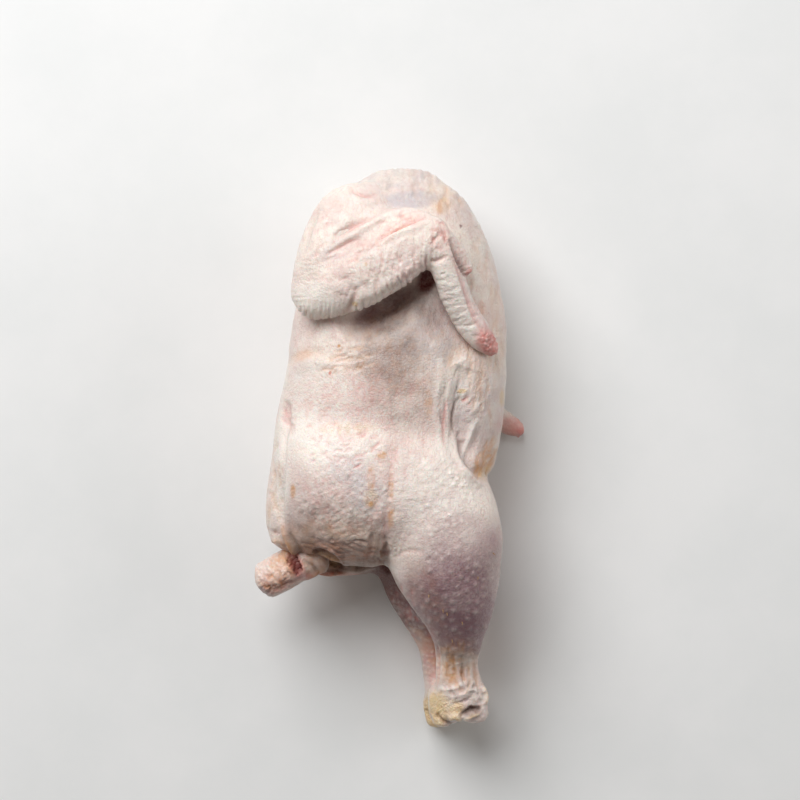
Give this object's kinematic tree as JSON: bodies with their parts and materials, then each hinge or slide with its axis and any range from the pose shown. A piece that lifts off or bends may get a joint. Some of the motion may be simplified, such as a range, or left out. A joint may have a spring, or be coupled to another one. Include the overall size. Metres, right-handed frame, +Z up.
{
  "type": "whole roaster chicken",
  "caption": "Whole raw roasting chicken with its skin on, lying on its left side, the upper wing folded over the breast and the legs stretched back.",
  "frame": {"origin": "centre of the bounding box at the bottom, on the surface the bird lies on", "axes": "+Z up, +Y from the hocks to the neck end, +X from the back to the breast"},
  "size_m": [0.1689, 0.3496, 0.1265],
  "materials": {
    "raw_skin": "moist raw poultry skin, pale pink"
  },
  "bodies": {
    "root": {"whole_chicken": "raw_skin"}
  },
  "joints": []
}
